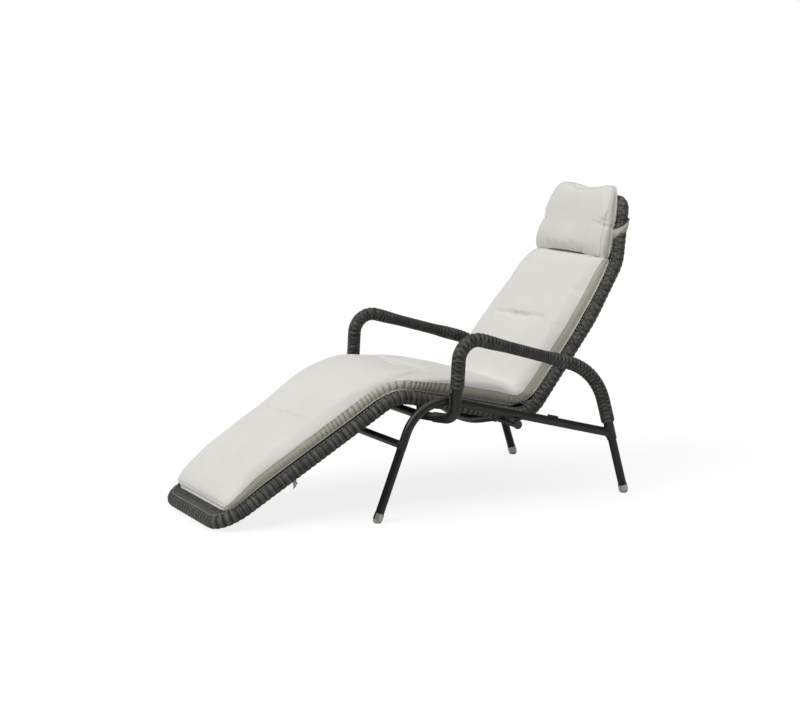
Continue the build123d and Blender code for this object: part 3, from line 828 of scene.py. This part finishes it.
def seam_loop(points, share):
    """Closed line round a cushion, on its outside at a share of its thickness."""
    place, height = on_side_view(points)
    x, rise = points[:, 0], -seam_hold * np.abs(height - level_at(place, height, share))
    low, high = place.min(), place.max()
    corner, step, slot = 0.040, 0.008, 0.004
    flat, steep = 12, 78
    middle = (low + high) / 2
    found = []

    def turn(side, end, first, last):
        """Goes round one corner, from one angle to another."""
        near = (side * x > 0) & (np.abs(place - (low if end < 0 else high)) < corner * 1.4)
        for angle in np.radians(np.linspace(first, last, 7)):
            found.append(outer(near, math.cos(angle) * side * x + math.sin(angle) * end * place + rise))

    for s in np.arange(low + corner, high - corner, step):
        found.append(outer((np.abs(place - s) < slot) & (x > 0), x + rise))
    turn(1, 1, flat, steep)
    top_wide = x[found[-1]]
    for gone in np.arange(-top_wide, top_wide, step)[1:-1]:
        found.append(outer((np.abs(x + gone) < slot) & (place > middle), place + rise))
    turn(-1, 1, steep, flat)
    for s in np.arange(high - corner, low + corner, -step):
        found.append(outer((np.abs(place - s) < slot) & (x < 0), rise - x))
    turn(-1, -1, flat, steep)
    low_wide = -x[found[-1]]
    for gone in np.arange(-low_wide, low_wide, step)[1:-1]:
        found.append(outer((np.abs(x - gone) < slot) & (place < middle), rise - place))
    turn(1, -1, steep, flat)
    line = points[found]
    for _ in range(seam_smoothing):
        line = (np.roll(line, 1, axis=0) + line + np.roll(line, -1, axis=0)) / 3
    return np.concatenate([line, line[:1]])


def piped(obj, name, radius, shares):
    """Adds the piping of a cushion's two seams, laid on its cloth."""
    points = coordinates(obj)
    tree = BVHTree.FromPolygons(points.tolist(), [tuple(f.vertices) for f in obj.data.polygons])
    cords = []
    for share in shares:
        line = seam_loop(points, share)
        places = lengths_along(line)
        even = np.linspace(0, places[-1], int(places[-1] / piping_step))
        snapped = []
        for point in rows_at(even, places, line):
            spot, way = tree.find_nearest(Vector(point))[:2]
            snapped.append(tuple(spot + way * radius * piping_share))
        snapped = np.array(snapped)
        snapped[-1] = snapped[0]
        guide = np.tile([0.0, 0.3, 1.0], (len(snapped), 1))
        cords.append(sleeve(name, snapped, even, guide, even_radius(radius), welt_sides, closed=True))
    piping = joined(name, cords)
    paint(piping, cloth)
    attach(piping, "shell")


pucker_pitch = 0.0160
pucker_depth = 0.0050
# Strength of the painted shade in the puckers' valleys.
fold_shade_share = 0.75
foot_run = 0.150
foot_thinner = 0.34
foot_longer = 0.006
foot_wider = 0.020


def plateau(begin, full, still, gone, values):
    """1 from full to still, and smoothly down to 0 at begin and at gone."""
    return smooth(begin, full, values) * smooth(gone, still, values)


def facing_up(place, ways):
    """1 where the cloth faces the sitter, 0 on the sides and below."""
    return smooth(0.3, 0.8, np.sum(ways * side_lift_at(place), axis=1))


def gusset_puckers(place, x):
    """Folds across the side band, 0 to 1: strong at the knee and at the seat corner."""
    knee = plateau(0.36, 0.52, 0.86, 0.96, place)
    corner = plateau(1.05, 1.09, 1.17, 1.22, place)
    leg = 0.35 * plateau(0.12, 0.30, 0.42, 0.52, place)
    uneven = 0.9 * np.sin(place * 41) + 1.5 * np.sin(x * 4)
    fold = 1 - np.abs(np.sin(place * math.pi / pucker_pitch + uneven))
    return np.clip(knee + corner + leg, 0, 1) * fold ** 1.3


def long_cushion():
    """The long cushion with puckered side bands, sewn tucks and slack cloth between them."""
    obj = soft_form("long_cushion", "long_cushion_cloth", cushion_voxel)
    points, ways = coordinates(obj), normals(obj)
    place, height = on_side_view(points)
    level = level_at(place, height, cushion_seam)
    under = smooth(level + 0.006, level - 0.003, height)
    folds = gusset_puckers(place, points[:, 0]) * smooth(0.55, 0.88, np.abs(ways[:, 0])) * under
    move = -pucker_depth * folds
    # Painted shade: the side band below the seam is darkened, and the puckers' valleys more so.
    stored(obj, "band", smooth(0.70, 0.92, np.abs(ways[:, 0])) * under)
    stored(obj, "fold", fold_shade_share * folds ** 1.5)
    foot = smooth(place.min() + foot_run, place.min(), place)
    thick = np.maximum(height - skin_top, 0)
    points = points - side_lift_at(place) * (foot_thinner * foot * thick)[:, None]
    points = points - side_way_at(place) * (foot_longer * foot)[:, None]
    points[:, 0] *= 1 + foot_wider * foot
    up = facing_up(place, ways)
    move += up * 0.0011 * ripple(points, 9, 1) + up * 0.0007 * ripple(points, 24, 2)
    for tuck, depth, narrow, hollow in tucks:
        gap = place - place_near(placed(tuck)) - 0.006 * np.sin(points[:, 0] * 9)
        window = smooth(tuck_half_length + 0.012, tuck_half_length - 0.02, np.abs(points[:, 0]))
        end = np.exp(-((np.abs(points[:, 0]) - tuck_half_length) / 0.016) ** 2)
        wrinkles = np.sin(points[:, 0] * 2 * math.pi / 0.031 + 2 * np.sin(points[:, 0] * 23))
        move -= up * window * (depth * np.exp(-(gap / narrow) ** 2) + 0.0022 * np.exp(-(gap / hollow) ** 2))
        move -= up * end * 0.0045 * np.exp(-(gap / 0.010) ** 2)
        move += up * window * 0.0009 * wrinkles * np.exp(-(gap / (hollow * 1.3)) ** 2)
    set_coordinates(obj, points + ways * move[:, None])
    paint(obj, cloth)
    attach(obj, "shell")
    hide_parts("long_cushion")
    return obj


pillow_top_run = 0.045
pillow_low_run = 0.060
pillow_longer = 0.011
pillow_thinner = 0.20
pillow_wider = 0.11
horn_height = 0.0035
saddle_depth = 0.0085
saddle_x = 0.012
saddle_width = 0.052


def head_pillow():
    """The head pillow, gathered where its strap pulls, and wider and thinner towards its top."""
    obj = soft_form("head_pillow", "head_pillow_cloth", pillow_voxel)
    points, ways = coordinates(obj), normals(obj)
    place, height = on_side_view(points)
    up = facing_up(place, ways)
    move = up * 0.0012 * ripple(points, 11, 5) + up * 0.0006 * ripple(points, 30, 6)
    strap = place_of_height(strap_height)
    edge = smooth(0.10, 0.19, np.abs(points[:, 0]))
    gap = place - strap - 0.004 * np.sin(points[:, 0] * 60)
    move -= edge * (0.0045 * np.exp(-(gap / 0.007) ** 2) + 0.0020 * np.exp(-((gap - 0.016) / 0.004) ** 2))
    # Painted shade on the pillow's side faces, which are also tinted more olive.
    stored(obj, "band", 0.8 * smooth(0.80, 0.97, np.abs(ways[:, 0])))
    top = smooth(place.max() - pillow_top_run, place.max(), place)
    saddle = saddle_depth * np.exp(-((points[:, 0] - saddle_x) / saddle_width) ** 2)
    low = pillow_longer * smooth(place.min() + pillow_low_run, place.min(), place)
    points = points + side_way_at(place) * (top * (horn_height - saddle) - low)[:, None]
    upper = smooth(place.max() - 0.190, place.max() - 0.020, place)
    thick = height - level_at(place, height, 0)
    points = points - side_lift_at(place) * (pillow_thinner * upper * thick)[:, None]
    points[:, 0] *= 1 + pillow_wider * upper
    set_coordinates(obj, points + ways * move[:, None])
    paint(obj, cloth)
    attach(obj, "shell")
    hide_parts("head_pillow")
    return obj


cushion = long_cushion()
pillow = head_pillow()
piped(cushion, "cushion_piping", 0.0016, (cushion_seam, cushion_low_seam))
piped(pillow, "pillow_piping", 0.0014, (pillow_seam, pillow_low_seam))


def band_section(thick):
    """Corners of a flat band's section: shares of its width, and heights over its inner face."""
    return (-0.5, 0), (0.5, 0), (0.5, thick), (-0.5, thick)


def strap():
    """Strap of the pillow: from its sides round the rims, rising towards the back."""
    middle, way, lift = side_at(place_of_height(strap_height))
    heights = [rim_corners[5][2], rim_corners[6][2]]
    x = float(np.interp(strap_height, heights, [neck_half_width, head_half_width]))
    inner, width, rise, thick = rim_radius + 0.0016, 0.031, 0.023, 0.0014
    turns = 24
    right = []
    for k in range(turns + 1):
        turn = k * math.pi / turns
        right.append((x + inner * math.sin(turn), inner * math.cos(turn)))
    left = [(-px, pz) for px, pz in reversed(right)]
    ring = right + left
    vertices, faces = [], []
    for px, height in ring:
        sway = -rise * height / inner
        for across, proud in band_section(thick):
            out = Vector((px, 0, 0)) + lift * height
            away = Vector((px - math.copysign(x, px), 0, 0)) + lift * height
            spread = away.normalized() * proud
            vertices.append(middle + out + spread + way * (sway + across * width))
    count = len(ring)
    for i in range(count):
        j = (i + 1) % count
        for k in range(4):
            a, b = i * 4 + k, i * 4 + (k + 1) % 4
            faces.append((a, b, j * 4 + (k + 1) % 4, j * 4 + k))
    band = new_object("pillow_strap_cloth", vertices, faces)
    paint(band, strap_cloth)
    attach(band, "shell")
    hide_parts("pillow_strap")


strap()


def ribbon(name, points, side, width, thick):
    """A flat band along points, as wide as given along one direction."""
    points = np.array([tuple(p) for p in points])
    side = np.array(tuple(side))
    away = np.cross(tangents(points), side)
    away /= np.linalg.norm(away, axis=1, keepdims=True)
    vertices, faces = [], []
    for point, out in zip(points, away):
        for across, proud in band_section(thick):
            vertices.append(point + side * across * width + out * proud)
    for i in range(len(points) - 1):
        for k in range(4):
            a, b = i * 4 + k, i * 4 + (k + 1) % 4
            faces.append((a, b, b + 4, a + 4))
    last = (len(points) - 1) * 4
    faces += [(3, 2, 1, 0), (last, last + 1, last + 2, last + 3)]
    return new_object(name, vertices, faces)


def knot(name, centre, size):
    """Small gathered knot of cloth."""
    whole = bmesh.new()
    bmesh.ops.create_icosphere(whole, subdivisions=3, radius=1)
    for vertex in whole.verts:
        spot = vertex.co.copy()
        fold = 1 + 0.16 * math.sin(6 * math.atan2(spot.y, spot.z) + 3 * spot.x)
        vertex.co = Vector(centre) + Vector([spot[i] * size[i] * fold for i in range(3)])
    mesh = bpy.data.meshes.new(name)
    whole.to_mesh(mesh)
    whole.free()
    mesh.polygons.foreach_set("use_smooth", [True] * len(mesh.polygons))
    return linked(name, mesh)


tie_share = 0.30
tie_width = 0.013
tie_thick = 0.0013
tie_proud = 0.0015
tail_width = 0.011
tail_thick = 0.0012
tails = ((-0.5, 0.016), (0.5, 0.012))
tail_spread = 0.009
tail_curl = 0.002
strand_radius = 0.0012
strand_sag = 0.002
strand_inner_x = 0.240
strand_outer_x = 0.2465
corner_strands = [(0.298, 0.328, 0.339, 0.302), (0.306, 0.333, 0.341, 0.309), (0.292, 0.320, 0.334, 0.297)]


def ties():
    """Ribbon, knot and two tails on each side of the leg, and strands over the rim behind the seat."""
    low, high = half_corners[1], half_corners[2]
    spot = low + (high - low) * tie_share
    way, lift = side_at(place_near(spot))[1:]
    reach = rim_radius + tie_proud
    pieces = []
    for side in (1, -1):
        centre = Vector((spot.x * side, spot.y, spot.z))
        inwards = Vector((-side, 0, 0))
        band = [
            centre + (inwards * math.sin(t) + lift * math.cos(t)) * reach
            for t in np.radians(np.linspace(30, 200, 18))
        ]
        pieces.append(ribbon("band", band, way, tie_width, tie_thick))
        low_point = centre - lift * (reach + 0.003)
        hang = (Vector((0, 0, -0.8)) - lift * 0.6).normalized()
        for share, length in tails:
            tail = []
            for t in np.linspace(0, 1, 9):
                curl = inwards * tail_curl * math.sin(3 * t) * share
                tail.append(low_point + hang * length * t + way * tail_spread * share * t + curl)
            pieces.append(ribbon("tail", tail, way, tail_width, tail_thick))
        pieces.append(knot("knot", low_point, (0.0045, 0.0070, 0.0050)))
        for y0, z0, y1, z1 in corner_strands:
            start, end = placed((strand_inner_x * side, y0, z0)), placed((strand_outer_x * side, y1, z1))
            line = []
            for t in np.linspace(0, 1, 12):
                line.append(start.lerp(end, t) - Vector((0, 0, strand_sag * math.sin(math.pi * t))))
            pieces.append(welt("strand", line, strand_radius))
    whole = joined("cushion_ties_cloth", pieces)
    paint(whole, strap_cloth)
    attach(whole, "shell")
    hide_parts("cushion_ties")


def pillow_knots():
    """Gathered knots at the two lower corners of the pillow."""
    points = coordinates(pillow)
    place = on_side_view(points)[0]
    pieces = []
    for side in (1, -1):
        corner = points[np.argmax(side * points[:, 0] - 1.2 * place)]
        pieces.append(knot("knot", corner, (0.006, 0.009, 0.007)))
    whole = joined("pillow_knots", pieces)
    paint(whole, cloth)
    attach(whole, "shell")


ties()
pillow_knots()


# Welds
bead_step = 0.0008
bead_ripple = 0.0055
bead_sides = 10
cope_points = 40


def node_tree(node):
    """Search tree of a CAD node's surface."""
    mesh = frame["nodes"][node].data
    vertices, faces = [tuple(v.co) for v in mesh.vertices], [tuple(f.vertices) for f in mesh.polygons]
    return BVHTree.FromPolygons(vertices, faces)


def bead(name, loop, radius, closed=True):
    """Rippled weld bead along a line."""
    loop = np.array([tuple(p) for p in ([*loop, loop[0]] if closed else loop)])
    places = lengths_along(loop)
    count = max(24, int(places[-1] / bead_step))
    even = np.linspace(0, places[-1], count)
    line = rows_at(even, places, loop)
    ripple_length = places[-1] / max(1, round(places[-1] / bead_ripple))
    guide = np.tile([0.2, 0.3, 1.0] if closed else [1.0, 0.0, 0.2], (count, 1))

    def radii(s, angles):
        return radius * (0.62 + 0.46 * np.abs(np.sin(math.pi * s / ripple_length + 0.4 * np.sin(angles))))

    return sleeve(name, line, even, guide, radii, bead_sides, closed=closed)


def cope(start, way, radius, node):
    """Closed line where a round bar from start along way meets a node."""
    tree = node_tree(node)
    way = way.normalized()
    first = way.orthogonal().normalized()
    second = way.cross(first)
    loop = []
    for k in range(cope_points):
        turn = 2 * math.pi * k / cope_points
        spot = tree.ray_cast(start + (first * math.cos(turn) + second * math.sin(turn)) * radius, way)[0]
        if spot is not None:
            loop.append(spot)
    return loop


rail_radius = 0.014
low_bar_radius = 0.012
rail_bend = placed((0.321, -0.105, 0.381))
rail_drop = 0.258
rear_bead = 0.0036
low_bead = 0.0020
column_x = 0.3440
columns = ((-0.0165, 0.0055), (0.0175, 0.0045))
column_low = -0.022
column_high = 0.026


def welds(side, name):
    """Beads of one side: rail on the armrest tube at both crossings, and low crossbar on the front leg."""
    foot, corner = placed(arm_rear_foot), placed(arm_corners[0])
    lean = (corner.y - foot.y) / corner.z
    height = (rail_bend.z - rail_drop * (foot.y - rail_bend.y)) / (1 + rail_drop * lean)
    end = foot + (corner - foot) * (height / corner.z)
    run = (end - rail_bend).normalized()
    beads = [bead("rear", cope(end - run * 0.05, run, rail_radius, "arm_tube_left"), rear_bead)]
    bar = (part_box("low_crossbar")[0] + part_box("low_crossbar")[1]) / 2
    low_start = Vector((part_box("low_crossbar")[1].x - 0.06, bar.y, bar.z))
    beads.append(bead("low", cope(low_start, Vector((1, 0, 0)), low_bar_radius, "side_rail_left"), low_bead))
    crossing = rail_bend + run * ((placed(arm_front_low).y + 0.003 - rail_bend.y) / run.y)
    for along, size in columns:
        touch = Vector((column_x, crossing.y + along, crossing.z - rail_drop * along))
        column = [touch + Vector((0, 0, rise)) for rise in np.linspace(column_low, column_high, 34)]
        beads.append(bead("front", column, size, closed=False))
    weld = joined(name, beads)
    if side < 0:
        points = coordinates(weld)
        points[:, 0] *= -1
        set_coordinates(weld, points)
        weld.data.flip_normals()
    paint(weld, weld_coat)
    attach(weld, "base")


welds(1, "weld_beads_left")
welds(-1, "weld_beads_right")


# Ground, light and camera
def unlit_share(tree, share):
    """The first share for light, and the second one for what the camera sees."""
    path = tree.nodes.new("ShaderNodeLightPath")
    scaled = tree.nodes.new("ShaderNodeMapRange")
    tree.links.new(path.outputs["Is Camera Ray"], scaled.inputs[0])
    scaled.inputs[3].default_value = share[0]
    scaled.inputs[4].default_value = share[1]
    return scaled.outputs[0]


def floor():
    """Wide pale floor that keeps a soft shadow."""
    size = 60
    corners = [(-size, -size, 0), (size, -size, 0), (size, size, 0), (-size, size, 0)]
    obj = new_object("floor", corners, [(0, 1, 2, 3)])
    ground = Shader("pale_floor", (0.76, 0.76, 0.755), 0.8)
    ground.color(ground.between(ground.noise(1.5, 2), (0.77, 0.77, 0.765), (0.75, 0.75, 0.745)))
    glow = ground.node("ShaderNodeEmission", {"Strength": 1.12})
    mix = ground.node("ShaderNodeMixShader")
    ground.put(mix.inputs[0], unlit_share(ground.tree, (0.0, 0.75)))
    ground.put(mix.inputs[1], ground.surface.outputs[0])
    ground.put(mix.inputs[2], glow.outputs[0])
    ground.put(ground.tree.nodes["Material Output"].inputs["Surface"], mix.outputs[0])
    paint(obj, ground.material)


def lamp(name, way, spread, strength):
    """A wide soft lamp far away, shining along a direction."""
    light = bpy.data.lights.new(name, "SUN")
    light.angle = math.radians(spread)
    light.energy = strength
    obj = linked(name, light)
    obj.rotation_euler = Vector(way).to_track_quat("-Z", "Y").to_euler()


def world():
    """White surroundings, dimmer as a lamp than they look."""
    sky = bpy.data.worlds.new("surroundings")
    sky.use_nodes = True
    bpy.context.scene.world = sky
    back = sky.node_tree.nodes["Background"]
    back.inputs["Color"].default_value = (1, 1, 1, 1)
    sky.node_tree.links.new(unlit_share(sky.node_tree, (0.26, 1.0)), back.inputs["Strength"])


def camera():
    """Camera at the photograph's place: a long lens, well to the sitter's left and foot end."""
    yaw, pitch = math.radians(61.83), math.radians(8.77)
    data = bpy.data.cameras.new("camera")
    data.sensor_width = 36
    data.lens = 77.6
    obj = linked("camera", data)
    obj.location = placed((4.8248, -2.5840, 1.2946))
    obj.rotation_euler = (math.pi / 2 - pitch, 0, yaw)
    bpy.context.scene.camera = obj


floor()
lamp("overhead", (-0.05, 0.12, -1), 70, 1.45)
lamp("key", (-0.10, 0.72, -0.70), 35, 1.05)
world()
camera()
bpy.context.scene.view_settings.view_transform = "Standard"
